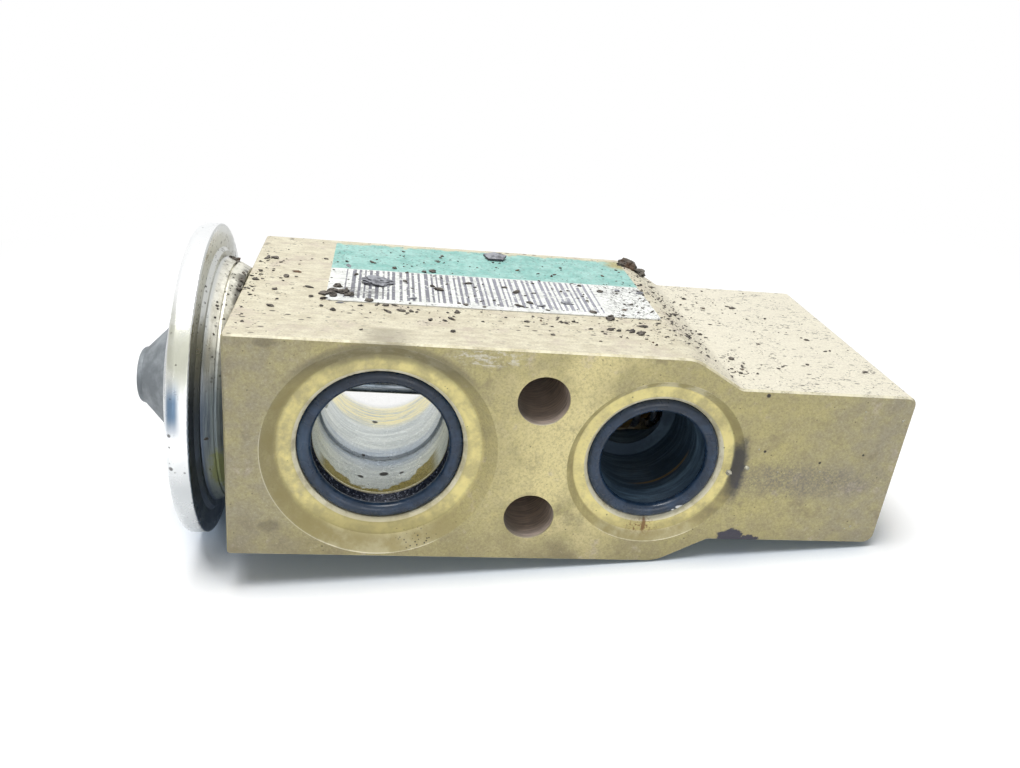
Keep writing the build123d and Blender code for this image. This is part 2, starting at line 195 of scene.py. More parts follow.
# ---- colours of rubber, resin and plastic ----
RUBBER = colour(24, 42, 62)
RUBBER_BLUE = colour(40, 60, 84)
# Painted light and shade on the rings, and a painted glint.
RUBBER_LIT = colour(62, 86, 112)
RUBBER_SHADE = colour(14, 26, 40)
GLINT_WHITE = colour(226, 230, 232)
RESIN = colour(110, 116, 120)
RESIN_PALE = colour(146, 152, 156)
RESIN_DARK = colour(94, 99, 103)
WAX_WHITE = colour(222, 220, 210)
WAX_PALE = colour(236, 235, 230)

# ---- colours of the cap and the neck ----
STEEL = colour(250, 251, 251)
STEEL_DIM = colour(236, 238, 239)
# Painted reflections on the rim, then painted shade on its lower side and under the lip, and painted light on
# the lip.
STRAW_REFLECTION = colour(176, 177, 158)
BLUE_REFLECTION = colour(78, 112, 144)
RIM_SHADE = colour(182, 186, 188)
NAVY_SHADE = colour(96, 108, 126)
LIP_SHADE = colour(92, 102, 112)
LIP_LIT = colour(200, 202, 200)
FACE_WORN = colour(212, 215, 217)
FACE_DIM = colour(178, 181, 182)
# Painted shade, light and a painted highlight on the neck, and painted shade and light under the flange.
NECK_SHADE = colour(74, 84, 96)
NECK_GREY = colour(112, 122, 128)
NECK_HIGHLIGHT = colour(140, 150, 152)
NECK_LOW = colour(176, 184, 178)
NECK_CREAM = colour(230, 228, 216)
NECK_TAN = colour(188, 185, 172)
FLANGE_SHADE = colour(84, 94, 108)
FLANGE_LIT = colour(204, 206, 202)
MOSS = colour(140, 146, 80)
CORNER_SHADE = colour(96, 98, 96)

# ---- colours of the inner steel and brass ----
GROUND_DARK = colour(86, 96, 104)
GROUND_LIGHT = colour(146, 152, 158)
SPRUNG_DARK = colour(140, 142, 146)
SPRUNG_LIGHT = colour(196, 198, 200)
BRASS = colour(186, 150, 84)
BRASS_BRIGHT = colour(214, 184, 116)
TARNISH = colour(120, 92, 52)

# ---- colours of loose dirt ----
DIRT_DARK = colour(44, 41, 38)
DIRT_LIGHT = colour(116, 110, 102)
SCALE_DARK = colour(70, 70, 76)
SCALE_LIGHT = colour(168, 170, 176)
CRUST_DARK = colour(150, 148, 132)
CRUST_LIGHT = colour(224, 220, 200)

# ---- colours of the floor ----
FLOOR_PALE = colour(234, 236, 240)
# The colour of the floor's painted contact shadow.
FLOOR_NEAR = colour(202, 215, 230)
FLOOR_WHITE = colour(255, 255, 255)


class Finish:
    """A material, with short ways to lay out its pattern. Places are Object coordinates in mm.

    A mask is a value from 0 to 1 that says where a colour or a mark shows.
    """

    def __init__(self, name, **sockets):
        self.material = bpy.data.materials.new(name)
        self.material.use_nodes = True
        self.tree = self.material.node_tree
        self.shader = self.tree.nodes["Principled BSDF"]
        for socket, value in sockets.items():
            self.shader.inputs[socket.replace("_", " ")].default_value = value
        coordinates = self.node("ShaderNodeTexCoord")
        scaled = self.node("ShaderNodeVectorMath", operation="SCALE")
        self.feed(scaled.inputs[0], coordinates.outputs["Object"])
        scaled.inputs["Scale"].default_value = 1 / MM
        self.place = scaled.outputs[0]
        self.x, self.y, self.z = self.split(self.place)
        self.facing = self.split(coordinates.outputs["Normal"])
        self.raggedness = None

    def node(self, kind, **settings):
        """A new shader node with its settings."""
        made = self.tree.nodes.new(kind)
        for name, value in settings.items():
            setattr(made, name, value)
        return made

    def feed(self, socket, value):
        """Links an output to a socket, or sets the socket to a number or a colour."""
        if isinstance(value, bpy.types.NodeSocket):
            self.tree.links.new(value, socket)
        else:
            socket.default_value = value

    def split(self, vector):
        parts = self.node("ShaderNodeSeparateXYZ")
        self.feed(parts.inputs[0], vector)
        return parts.outputs[0], parts.outputs[1], parts.outputs[2]

    def calc(self, operation, a, b=0.0, clamp=False):
        made = self.node("ShaderNodeMath", operation=operation, use_clamp=clamp)
        self.feed(made.inputs[0], a)
        self.feed(made.inputs[1], b)
        return made.outputs[0]

    def ramp(self, value, low, high, start=0.0, end=1.0):
        """Smoothly from start to end as the value goes from low to high."""
        made = self.node("ShaderNodeMapRange", interpolation_type="SMOOTHSTEP")
        for socket, number in zip(made.inputs, (value, low, high, start, end)):
            self.feed(socket, number)
        return made.outputs[0]

    def between(self, value, low, high, soft=0.1):
        """1 where the value lies between low and high."""
        rise = self.ramp(value, low - soft, low + soft)
        return self.calc("MULTIPLY", rise, self.ramp(value, high - soft, high + soft, 1.0, 0.0))

    def both(self, *masks):
        """Where all of the masks show."""
        found = masks[0]
        for mask in masks[1:]:
            found = self.calc("MULTIPLY", found, mask)
        return found

    def either(self, *masks):
        """Where any of the masks shows."""
        found = masks[0]
        for mask in masks[1:]:
            found = self.calc("MAXIMUM", found, mask)
        return found

    def radius(self, a, b, centre_a=0.0, centre_b=0.0):
        """Distance from an axis that crosses the plane of a and b."""
        a = self.calc("SUBTRACT", a, centre_a)
        b = self.calc("SUBTRACT", b, centre_b)
        return self.calc("SQRT", self.calc("ADD", self.calc("MULTIPLY", a, a), self.calc("MULTIPLY", b, b)))

    def stretched(self, x=1.0, y=1.0, z=1.0, shift=(0, 0, 0)):
        """The places, scaled along each axis, for a pattern that runs in streaks."""
        made = self.node("ShaderNodeMapping")
        self.feed(made.inputs["Vector"], self.place)
        made.inputs["Location"].default_value = shift
        made.inputs["Scale"].default_value = (x, y, z)
        return made.outputs[0]

    def grain(self, scale, detail=3.0, roughness=0.55, place=None):
        """Soft clouds, with the scale in clouds per mm."""
        made = self.node("ShaderNodeTexNoise")
        self.feed(made.inputs["Vector"], place or self.place)
        made.inputs["Scale"].default_value = scale
        made.inputs["Detail"].default_value = detail
        made.inputs["Roughness"].default_value = roughness
        return made.outputs["Fac"]

    def cells(self, scale, place=None):
        """Distance to the nearest of many scattered points."""
        made = self.node("ShaderNodeTexVoronoi")
        self.feed(made.inputs["Vector"], place or self.place)
        made.inputs["Scale"].default_value = scale
        return made.outputs["Distance"]

    def hairs(self, scale, width, place=None):
        """Thin wandering lines."""
        away = self.calc("ABSOLUTE", self.calc("SUBTRACT", self.grain(scale, 2, 0.5, place), 0.5))
        return self.ramp(away, 0.4 * width, width, 1.0, 0.0)

    def mark(self, a, b, centre, reach, ragged=0.5, soft=0.2):
        """A patch round a place on two coordinates, with an uneven edge."""
        if not self.raggedness:
            self.raggedness = self.calc("SUBTRACT", self.grain(1.1, 4, 0.7), 0.5)
        a = self.calc("DIVIDE", self.calc("SUBTRACT", a, centre[0]), reach[0])
        b = self.calc("DIVIDE", self.calc("SUBTRACT", b, centre[1]), reach[1])
        away = self.calc("ADD", self.radius(a, b), self.calc("MULTIPLY", self.raggedness, 4 * ragged))
        return self.ramp(away, 1 - soft, 1 + soft, 1.0, 0.0)

    def blend(self, amount, a, b):
        """Colour a where the amount is 0 and b where it is 1."""
        made = self.node("ShaderNodeMix", data_type="RGBA")
        self.feed(made.inputs["Factor"], amount)
        self.feed(made.inputs[6], a)
        self.feed(made.inputs[7], b)
        return made.outputs[2]

    def part(self, amount, share):
        """A share of a mask."""
        return self.calc("MULTIPLY", amount, share)

    def bump(self, height, distance, strength=1.0):
        """Raises the surface by a height from 0 to 1, over a distance in mm."""
        made = self.node("ShaderNodeBump")
        made.inputs["Strength"].default_value = strength
        made.inputs["Distance"].default_value = distance * MM
        self.feed(made.inputs["Height"], height)
        self.feed(self.shader.inputs["Normal"], made.outputs[0])

    def set(self, socket, value):
        """Sets or links one of the surface's own sockets."""
        self.feed(self.shader.inputs[socket], value)


def bar_tone(f):
    """Mottled gold chromate, brighter between the ports and greyer at the ends, with painted shade on the lower
    part of the front face.
    """
    tone = f.blend(f.ramp(f.mottle, 0.26, 0.74), GOLD_DULL, GOLD)
    bright = f.both(f.between(f.x, 16, 30, 6), f.ramp(f.broad, 0.35, 0.55))
    tone = f.blend(f.part(bright, 0.85), tone, GOLD_BRIGHT)
    ends = f.either(f.ramp(f.x, 50, 66), f.ramp(f.x, -4, -16))
    tone = f.blend(f.both(ends, f.ramp(f.mottle, 0.2, 0.75, 1.0, 0.4)), tone, GOLD_GREY)
    # Painted shade: the lower part of the front face darkened, broken up by the broad grain.
    tone = f.blend(f.both(f.ramp(f.z, -7, -15), f.ramp(f.broad, 0.3, 0.6, 0.8, 0.35)), tone, SMUDGE_AND_SHADE)
    tone = f.blend(f.ramp(f.smudge, 0.55, 0.72, 0.0, 0.55), tone, SMUDGE_AND_SHADE)
    tone = f.blend(f.ramp(f.smudge, 0.42, 0.3, 0.0, 0.4), tone, PINK_GREY)
    tone = f.blend(f.ramp(f.fine, 0.58, 0.3, 0.0, 0.42), tone, GRAIN_BROWN)
    return f.blend(f.ramp(f.fine, 0.56, 0.78, 0.0, 0.3), tone, WORN_EDGE_AND_GLINT)


def dusty_top(f):
    """The upper faces: cream, streaked, and peppered with short dark marks."""
    streaks = f.grain(0.45, 4, 0.7, f.stretched(1, 2.4, 1))
    tone = f.blend(f.ramp(streaks, 0.34, 0.66), DUSTY, CREAM)
    tone = f.blend(f.ramp(f.smudge, 0.5, 0.68, 0.0, 0.5), tone, PINK_GREY)
    tone = f.blend(f.ramp(f.x, 37, 47, 0.0, 0.8), tone, CREAM_PALE)
    grimy = f.either(
        f.ramp(f.x, 30, 40, 0.0, 1.0),
        f.ramp(f.x, -9, -17),
        f.between(f.y, -15, -7, 2),
        f.ramp(f.y, 16, 20),
    )
    grimy = f.both(grimy, f.ramp(f.x, 44, 66, 1.0, 0.55))
    fine_marks = f.ramp(f.cells(2.4, f.stretched(0.55, 1, 1)), 0.16, 0.26, 1.0, 0.0)
    marks = f.ramp(f.cells(0.85, f.stretched(0.5, 1, 1, (5, 3, 0))), 0.12, 0.19, 1.0, 0.0)
    dense = f.ramp(f.mottle, 0.56, 0.42, 0.0, 1.0)
    marks = f.either(f.both(fine_marks, dense), f.both(marks, f.ramp(f.broad, 0.42, 0.5)))
    marks = f.both(marks, f.ramp(grimy, 0.0, 1.0, 0.25, 0.95))
    hairs = f.both(f.hairs(0.5, 0.012, f.stretched(1, 1.6, 1, (2, 8, 0))), f.ramp(f.x, 34, 40), dense)
    tone = f.blend(f.either(marks, f.part(hairs, 0.8)), tone, SOOT)
    return f.blend(f.part(f.ramp(f.fine, 0.6, 0.4), 0.22), tone, DUST_BROWN)


def port_faces(f, tone):
    """The tapered spot faces, their yellow lands and the broken edges round the glands, with painted shade in
    the recesses and a painted highlight on the suction spot's lower-left rim.
    """
    near = f.ramp(f.y, -15.5, -16.5)
    sunk = f.both(near, f.ramp(f.y, FRONT + 0.02, FRONT + 0.12))
    # The olive cones: partly a duller tone of the cut faces, partly painted shade, thinning towards the right
    # of the suction cone.
    cone = f.either(
        f.both(f.between(f.big, SUCTION_LAND, SUCTION_SPOT + 0.1, 0.6), f.ramp(f.x, 5, 12, 1.0, 0.1)),
        f.between(f.small, LIQUID_LAND, LIQUID_SPOT + 0.1, 0.2),
    )
    tone = f.blend(f.both(cone, sunk, f.ramp(f.mottle, 0.3, 0.7, 0.9, 0.35)), tone, OLIVE)
    land = f.either(
        f.between(f.big, SUCTION_EDGE, SUCTION_LAND, 0.45),
        f.between(f.small, LIQUID_EDGE, LIQUID_LAND, 0.15),
    )
    tone = f.blend(f.both(land, sunk, f.ramp(f.mottle, 0.34, 0.66, 0.35, 0.95)), tone, LAND_YELLOW)
    edge = f.either(
        f.between(f.big, SUCTION_GLAND - 0.1, SUCTION_EDGE, 0.05),
        f.between(f.small, LIQUID_GLAND - 0.1, LIQUID_EDGE, 0.05),
    )
    tone = f.blend(f.both(edge, near, f.ramp(f.mottle, 0.35, 0.6, 0.3, 0.9)), tone, WORN_EDGE_AND_GLINT)
    # Painted shade: the lower parts of the sunk recesses darkened.
    tone = f.blend(f.part(f.both(sunk, f.ramp(f.z, -7, -12)), 0.6), tone, OLIVE)
    # A pale line on the lower left of the suction spot's rim: partly wear, partly a painted highlight where the
    # edge faces up.
    scratch_and_glint = f.between(f.big, SUCTION_SPOT - 0.02, SUCTION_SPOT + 0.06, 0.04)
    scratch_and_glint = f.both(scratch_and_glint, f.ramp(f.y, -20.2, -20.35), f.ramp(f.x, 2, -4), f.ramp(f.z, 5, 1))
    tone = f.blend(f.part(scratch_and_glint, 0.6), tone, WORN_EDGE_AND_GLINT)
    # Painted shade on the upper part of the suction port's recess.
    shaded_brow = f.both(f.between(f.big, SUCTION_LAND - 0.6, SUCTION_SPOT + 0.6, 0.4), f.ramp(f.z, 8, 12), near)
    tone = f.blend(f.part(shaded_brow, 0.6), tone, GOLD_SHADED)
    corner = f.mark(f.x, f.z, (6.4, -12.9), (3.4, 1.3), 0.2, 0.5)
    pepper = f.both(corner, f.ramp(f.cells(2.2), 0.2, 0.3, 1.0, 0.0), sunk)
    return f.blend(f.part(pepper, 0.85), tone, SOOT)


def suction_bore(f, tone):
    """The bright suction bore with its tool rings, pits and oil, painted white towards the rear as if back-lit,
    with painted shade along its top, a painted highlight on its front edge, and the wet lead-in at its mouth in
    painted shade with painted glints.

    Leaves f.rings for the liquid bore, f.shiny for bare metal and f.wet for oil.
    """
    inside = f.both(
        f.ramp(f.big, SUCTION_BORE + 0.25, SUCTION_BORE + 0.12),
        f.ramp(f.y, LEAD_IN_Y - 0.1, LEAD_IN_Y + 0.1),
    )
    f.rings = f.grain(0.8, 4, 0.65, f.stretched(0.2, 2.0, 0.2))
    wall = f.blend(f.ramp(f.rings, 0.35, 0.65), SILVER_DIM, SILVER)
    worked = f.both(f.between(f.y, -8.4, -4.2, 1.0), f.ramp(f.rings, 0.35, 0.65, 0.9, 0.5))
    wall = f.blend(worked, wall, BLUE_GREY)
    wall = f.blend(f.both(f.between(f.y, 3.2, 10, 1.2), f.ramp(f.rings, 0.3, 0.6)), wall, SILVER_YELLOW)
    # Painted light: the rear of the bore turns white, as if blown out by light through the rear mouth.
    wall = f.blend(f.ramp(f.y, 8.5, 11.5), wall, BACKLIT_WHITE)
    pits = f.ramp(f.cells(1.5, f.stretched(0.7, 1.4, 1, (3, 1, 9))), 0.16, 0.24, 1.0, 0.0)
    scored = f.either(f.between(f.y, -8.4, -5, 0.6), f.both(f.ramp(f.x, -3, -5), f.between(f.y, -12, -4)))
    pits = f.part(f.both(pits, scored, f.ramp(f.mottle, 0.5, 0.58)), 0.45)
    low = f.ramp(f.z, -1, -4)
    deep_pits = (
        (-0.8, 4.4, 0.42), (0.7, -10.3, 0.6), (3.1, -10.7, 0.3), (-2.2, -6.1, 0.25), (-2.4, -11.6, 0.4),
    )  # fmt: skip
    for x, y, size in deep_pits:
        pits = f.either(pits, f.both(f.mark(f.x, f.y, (x, y), (size, 0.8 * size), 0.06, 0.25), low))
    wall = f.blend(f.part(pits, 0.9), wall, SOOT)
    curve = f.calc("MULTIPLY", f.calc("MULTIPLY", f.x, f.x), f.ramp(f.x, -2, 3, 0.02, 0.06))
    reach = f.calc("ADD", f.calc("SUBTRACT", f.y, curve), f.part(f.mottle, 4.0))
    oily = f.both(f.ramp(reach, -11.6, -12.2), f.ramp(f.z, -3.4, -5.4))
    wall = f.blend(f.part(oily, 0.95), wall, OIL)
    # A painted highlight: a thin pale line along the lower front edge of the bore.
    wall = f.blend(f.both(f.between(f.y, -15.1, -14.9, 0.06), f.ramp(f.z, -3, -6)), wall, WORN_EDGE_AND_GLINT)
    # Painted shade along the top of the bore's front half.
    shaded = f.both(f.ramp(f.z, 3.4, 5.6), f.ramp(f.y, 6, 2))
    wall = f.blend(f.part(shaded, 0.85), wall, BORE_SHADE)
    tone = f.blend(inside, tone, wall)
    # The lead-in: oily, and painted dark as a shadowed groove, with painted glints of light.
    lead_in = f.both(
        f.ramp(f.big, SUCTION_GLAND - 0.1, SUCTION_GLAND - 0.2),
        f.ramp(f.y, LEAD_IN_Y, LEAD_IN_Y - 0.15),
    )
    lead_in = f.both(lead_in, f.ramp(f.y, FRONT + 1.2, FRONT + 1.6))
    glints = f.ramp(f.fine, 0.56, 0.7)
    f.shiny = f.both(inside, f.ramp(f.either(pits, shaded), 0, 1, 1, 0.2))
    f.wet = f.either(lead_in, f.both(inside, oily))
    return f.blend(lead_in, tone, f.blend(glints, WET_SHADED_BLACK, WET_GLINT))


def narrow_holes(f, tone):
    """The darker liquid bore, painted dark blue as shade and with a painted glint, and the drilled bolt holes,
    with painted shade on their left.

    Leaves f.holes for both.
    """
    narrow = f.both(
        f.ramp(f.small, LIQUID_GLAND - 0.05, LIQUID_GLAND - 0.15),
        f.between(f.y, FRONT + 1.4, LIQUID_BORE_END, 0.2),
    )
    # Painted shade: the liquid bore painted dark blue, though it is the same metal as the bright suction bore.
    dim = f.blend(f.ramp(f.rings, 0.4, 0.75), SHADED_DEEP_BLUE, SHADED_SLATE_BLUE)
    # A painted highlight: a brown glint on the lower wall deep in the liquid bore.
    glint = f.both(
        f.between(f.y, -13.6, -13.2, 0.1),
        f.ramp(f.x, LIQUID_X - 2, LIQUID_X + 3),
        f.ramp(f.z, -1, -3),
    )
    tone = f.blend(narrow, tone, f.blend(glint, dim, BROWN_GLINT))
    bolt = f.radius(f.x, f.calc("ABSOLUTE", f.z), BOLT_X, BOLT_Z)
    drilled = f.both(f.ramp(bolt, BOLT_HOLE + 0.12, BOLT_HOLE + 0.02), f.ramp(f.y, -20.3, -20.0))
    turns = f.grain(1.3, 3, 0.6, f.stretched(0.25, 2.6, 0.25, (6, 2, 4)))
    brown = f.blend(f.ramp(turns, 0.36, 0.64), DRILLED_BROWN, DRILLED_PINK)
    # Painted shade on the left side of each bolt hole.
    brown = f.blend(f.part(f.ramp(f.x, BOLT_X + 1, BOLT_X - 3), 0.6), brown, DRILLED_SHADE)
    f.holes = f.either(narrow, drilled)
    return f.blend(drilled, tone, brown)


def front_marks(f, tone):
    """Stains, chips, specks and scrapes on the front face.

    Leaves f.chip for the dark notches in the lower edge.
    """
    face = f.ramp(f.y, FRONT + 2.0, FRONT + 1.8)
    flat = f.ramp(f.y, FRONT + 0.35, FRONT + 0.2)
    smear = f.both(f.mark(f.x, f.z, (55, -1.6), (10, 2.2), 0.3, 0.7), flat, f.ramp(f.fine, 0.7, 0.35, 0.2, 0.7))
    tone = f.blend(smear, tone, SMEAR_GREY)
    stain = f.both(f.mark(f.x, f.z, (46.5, -0.2), (0.95, 4.2), 0.22, 0.5), face, f.ramp(f.small, 10.4, 10.7))
    tone = f.blend(f.part(stain, 0.85), tone, BLUE_BLACK)
    trail = f.both(
        f.between(f.small, LIQUID_LAND, LIQUID_SPOT, 0.2),
        f.ramp(f.z, 2, -2),
        f.ramp(f.x, 41, 44),
        face,
    )
    tone = f.blend(f.both(trail, f.ramp(f.mottle, 0.35, 0.6, 0.35, 0.05)), tone, TRAIL_GREY)
    edge = f.ramp(f.y, -19, -19.5)
    f.chip = f.either(
        f.both(f.mark(f.x, f.z, (47.6, -11.0), (1.9, 1.5), 0.25, 0.1), edge),
        f.both(f.mark(f.x, f.z, (50.2, -11.2), (1.5, 0.8), 0.3, 0.1), edge),
    )
    tone = f.blend(f.chip, tone, CHIPPED)
    crack = f.both(f.mark(f.x, f.z, (35.5, -9.8), (0.28, 1.0), 0.2, 0.3), face)
    rust = f.both(f.mark(f.x, f.z, (35.3, -10), (2.2, 1.0), 0.3, 0.5), face, f.ramp(f.fine, 0.5, 0.62))
    tone = f.blend(f.part(f.either(crack, rust), 0.85), tone, RUST)
    scraped = f.both(f.mark(f.x, f.z, (12.4, 13.7), (4.2, 1.0), 0.35, 0.4), flat)
    scraped = f.both(scraped, f.ramp(f.grain(1.3, 4, 0.75, f.stretched(0.7, 1, 2)), 0.47, 0.6))
    tone = f.blend(f.part(scraped, 0.8), tone, SCRAPED)
    bruise = f.both(f.mark(f.x, f.z, (-13.7, 14.3), (1.2, 0.6), 0.2, 0.5), flat)
    dirt = f.either(bruise, f.both(f.mark(f.x, f.z, (-13.4, -10.6), (1.3, 0.9), 0.25, 0.5), flat))
    tone = f.blend(f.part(dirt, 0.5), tone, BRUISED)
    dots = f.ramp(f.cells(0.8, f.stretched(1, 1, 1, (0, 4, 0))), 0.06, 0.12, 1.0, 0.0)
    dots = f.both(dots, f.ramp(f.mottle, 0.47, 0.56), face)
    tone = f.blend(f.part(dots, 0.65), tone, DOT_BROWN)
    for x, z, size in ((48.1, 10.6, 0.3), (57.5, 1.2, 0.18), (49.5, 2.6, 0.2), (63.3, 2.6, 0.16)):
        tone = f.blend(f.both(f.mark(f.x, f.z, (x, z), (size, size), 0.2, 0.3), flat), tone, SOOT)
    return tone


def chromated_block():
    """Gold chromate on a sawn and drilled aluminium bar, with dust, oil and dirt where they gather.

    The patterns that its parts share are kept on the finish. f.big and f.small are the distances from
    the axes of the suction port and the liquid port.
    """
    f = Finish("gold_chromate")
    f.broad = f.grain(0.11, 3)
    f.mottle = f.grain(0.4, 4, 0.65)
    f.smudge = f.grain(0.2, 4, 0.7, f.stretched(shift=(4, 0, 9)))
    f.fine = f.grain(3.6, 3, 0.75)
    f.big = f.radius(f.x, f.z)
    f.small = f.radius(f.x, f.z, LIQUID_X)
    up = f.ramp(f.facing[2], 0.5, 0.9)
    broken = f.both(
        f.between(f.calc("ABSOLUTE", f.facing[2]), 0.6, 0.8, 0.05),
        f.ramp(f.facing[1], -0.5, -0.65),
    )
    tone = f.blend(up, bar_tone(f), dusty_top(f))
    tone = f.blend(f.both(broken, f.ramp(f.mottle, 0.4, 0.6, 0.1, 0.8)), tone, WORN_EDGE_AND_GLINT)
    tone = front_marks(f, port_faces(f, tone))
    tone = narrow_holes(f, suction_bore(f, tone))
    f.set("Base Color", tone)
    coated = f.ramp(f.either(up, f.holes, f.chip), 0, 1, 0.2, 0.0)
    f.set("Metallic", f.either(f.shiny, f.part(f.wet, 0.3), coated))
    rough = f.ramp(f.fine, 0.3, 0.7, 0.45, 0.65)
    f.set("Roughness", f.calc("SUBTRACT", rough, f.either(f.part(f.shiny, 0.22), f.part(f.wet, 0.28)), True))
    f.bump(f.calc("ADD", f.part(f.fine, 0.6), f.part(f.mottle, 0.5)), 0.12, 0.7)
    return f.material


def printed_label():
    """A mint band over a white one with grey stripes, rubbed through at the right and gritty."""
    f = Finish("printed_label", Roughness=0.55)
    mottle = f.grain(0.5, 5, 0.65)
    fine = f.grain(2.2, 3, 0.65)
    white = f.blend(f.ramp(mottle, 0.4, 0.7, 0.0, 0.6), LABEL_WHITE, LABEL_GREYED)
    # Three waves along X make stripes of uneven width.
    sway = f.calc("SINE", f.calc("MULTIPLY", f.x, 1.9))
    slow = f.calc("SINE", f.calc("ADD", f.calc("MULTIPLY", f.x, 0.73), 1.0))
    phase = f.calc("ADD", f.calc("MULTIPLY", f.x, 7.6), f.calc("ADD", f.part(sway, 0.9), f.part(slow, 0.8)))
    weave = f.calc("ADD", f.calc("SINE", phase), f.part(f.calc("SINE", f.calc("MULTIPLY", f.x, 2.6)), 0.35))
    stripes = f.both(
        f.ramp(weave, -0.05, 0.3),
        f.between(f.x, STRIPES_LEFT, STRIPES_RIGHT, 0.05),
        f.between(f.y, LABEL_FRONT + 1.4, LABEL_BAND_Y - 0.2, 0.1),
    )
    stripes = f.both(stripes, f.ramp(f.grain(0.9, 4, 0.75), 0.34, 0.46))
    faded = f.blend(f.ramp(f.x, 2, 24), STRIPE_DARK, LILAC_GREY)
    tone = f.blend(f.part(stripes, 0.9), white, faded)
    wander = f.calc("MULTIPLY", f.calc("SUBTRACT", mottle, 0.5), 0.5)
    band = f.ramp(f.calc("ADD", f.y, wander), LABEL_BAND_Y - 0.1, LABEL_BAND_Y + 0.1)
    tone = f.blend(band, tone, f.blend(f.ramp(mottle, 0.3, 0.7), MINT, MINT_PALE))
    rubbed = f.ramp(f.calc("ADD", f.y, f.part(mottle, 5)), 20.6, 21.2)
    burnt = f.mark(f.x, f.y, (36.4, 16.8), (2.0, 2.2), 0.3, 0.5)
    tone = f.blend(rubbed, tone, RUBBED)
    tone = f.blend(f.part(burnt, 0.8), tone, BURNT_YELLOW)
    grit = f.ramp(f.cells(1.9, f.stretched(0.7, 1, 1)), 0.16, 0.27, 1.0, 0.0)
    grit = f.both(grit, f.ramp(f.grain(0.5, 3, 0.6, f.stretched(shift=(7, 3, 0))), 0.44, 0.56))
    worn = f.both(f.ramp(f.x, STRIPES_RIGHT, STRIPES_RIGHT + 2), f.hairs(1.1, 0.03), f.ramp(band, 0, 1, 1, 0))
    patch = f.both(f.mark(f.x, f.y, (-3.4, -3.6), (3.0, 2.0), 0.4, 0.5), f.ramp(fine, 0.4, 0.6, 0.8, 0.3))
    tone = f.blend(f.part(f.either(grit, worn, patch), 0.8), tone, LABEL_GRIT)
    rim = f.calc("SUBTRACT", LABEL_FRONT + 0.25, f.y)
    tone = f.blend(f.part(f.ramp(rim, 0.0, 0.2), 0.5), tone, LABEL_RIM)
    tone = f.blend(f.ramp(fine, 0.6, 0.35, 0.0, 0.25), tone, LABEL_GRAIN)
    f.set("Base Color", tone)
    f.bump(f.calc("ADD", fine, f.part(grit, 0.6)), 0.06, 0.7)
    return f.material


def oiled_rubber():
    """Black rubber with a blue cast and a film of oil, painted lighter on the suction ring's left and darker on
    top, with two painted glints on the liquid ring.
    """
    f = Finish("oiled_rubber", Specular_IOR_Level=0.45)
    mottle = f.grain(0.8, 4)
    tone = f.blend(f.ramp(mottle, 0.35, 0.7), RUBBER, RUBBER_BLUE)
    # Painted light on the left side of the suction O-ring.
    tone = f.blend(f.ramp(f.radius(f.x, f.z, -12, 0), 5, 1, 0.0, 0.8), tone, RUBBER_LIT)
    # Painted shade: the tops of the rings darkened.
    tone = f.blend(f.ramp(f.z, 5, 9, 0.0, 0.7), tone, RUBBER_SHADE)
    # Two painted glints: white highlights on the lower right of the liquid O-ring.
    glint_spots = f.either(
        f.mark(f.x, f.z, (40.0, -6.9), (0.55, 0.3), 0.25, 0.2),
        f.mark(f.x, f.z, (39.2, -7.4), (0.25, 0.2), 0.2, 0.3),
    )
    tone = f.blend(f.both(glint_spots, f.ramp(f.y, -17, -17.5)), tone, GLINT_WHITE)
    f.set("Base Color", tone)
    f.set("Roughness", f.ramp(f.grain(0.5, 3), 0.35, 0.65, 0.2, 0.4))
    f.bump(f.grain(5, 2), 0.03, 0.5)
    return f.material


def drawn_steel():
    """The polished cap: bright on the rim, with painted straw and blue reflections on its side, painted shade
    low on the rim, and dark painted shade under the lip.
    """
    f = Finish("drawn_steel", Metallic=1.0)
    smear = f.grain(0.25, 5, 0.65)
    fine = f.grain(1.8, 3, 0.6, f.stretched(3, 0.6, 0.6))
    side = f.ramp(f.y, -6, -12)
    tone = f.blend(f.ramp(smear, 0.35, 0.7), STEEL, STEEL_DIM)
    # A painted reflection: a straw band on the side of the rim.
    reflected_straw = f.both(f.between(f.z, 7.5, 15.5, 2.4), side, f.ramp(smear, 0.3, 0.6, 0.6, 1.0))
    tone = f.blend(f.part(reflected_straw, 0.85), tone, STRAW_REFLECTION)
    # A painted reflection: a blue band on the side of the rim.
    blue = f.both(f.between(f.z, 2.8, 7.6, 1.8), side, f.between(f.x, -25.0, -23.6, 0.4))
    tone = f.blend(f.part(blue, 0.9), tone, BLUE_REFLECTION)
    # Painted shade on the lower side of the rim.
    shaded_brow = f.both(f.ramp(f.z, 1, -6), side)
    tone = f.blend(f.part(shaded_brow, 0.85), tone, RIM_SHADE)
    # Painted shade on the underside of the lip: navy low down, with painted light higher up.
    under = f.ramp(f.facing[0], 0.3, 0.6)
    low = f.blend(f.ramp(f.z, -12, 4), NAVY_SHADE, LIP_SHADE)
    tone = f.blend(under, tone, f.blend(f.ramp(f.z, 2, 17), low, LIP_LIT))
    specks = f.both(f.ramp(f.cells(0.9), 0.1, 0.18, 1.0, 0.0), f.ramp(smear, 0.5, 0.6))
    for z, size in ((2.1, 0.2), (-2.4, 0.26), (0.6, 0.12)):
        specks = f.either(specks, f.both(f.mark(f.x, f.z, (-24.6, z), (size, size), 0.1, 0.3), side))
    tone = f.blend(f.part(specks, 0.75), tone, SOOT)
    face = f.ramp(f.x, CAP_FACE + 0.05, CAP_FACE - 0.1)
    worn = f.blend(f.ramp(smear, 0.3, 0.75), FACE_WORN, FACE_DIM)
    tone = f.blend(face, tone, worn)
    f.set("Base Color", tone)
    f.set("Roughness", f.ramp(smear, 0.3, 0.7, 0.2, 0.38))
    f.bump(f.calc("SUBTRACT", fine, specks), 0.03, 0.5)
    return f.material


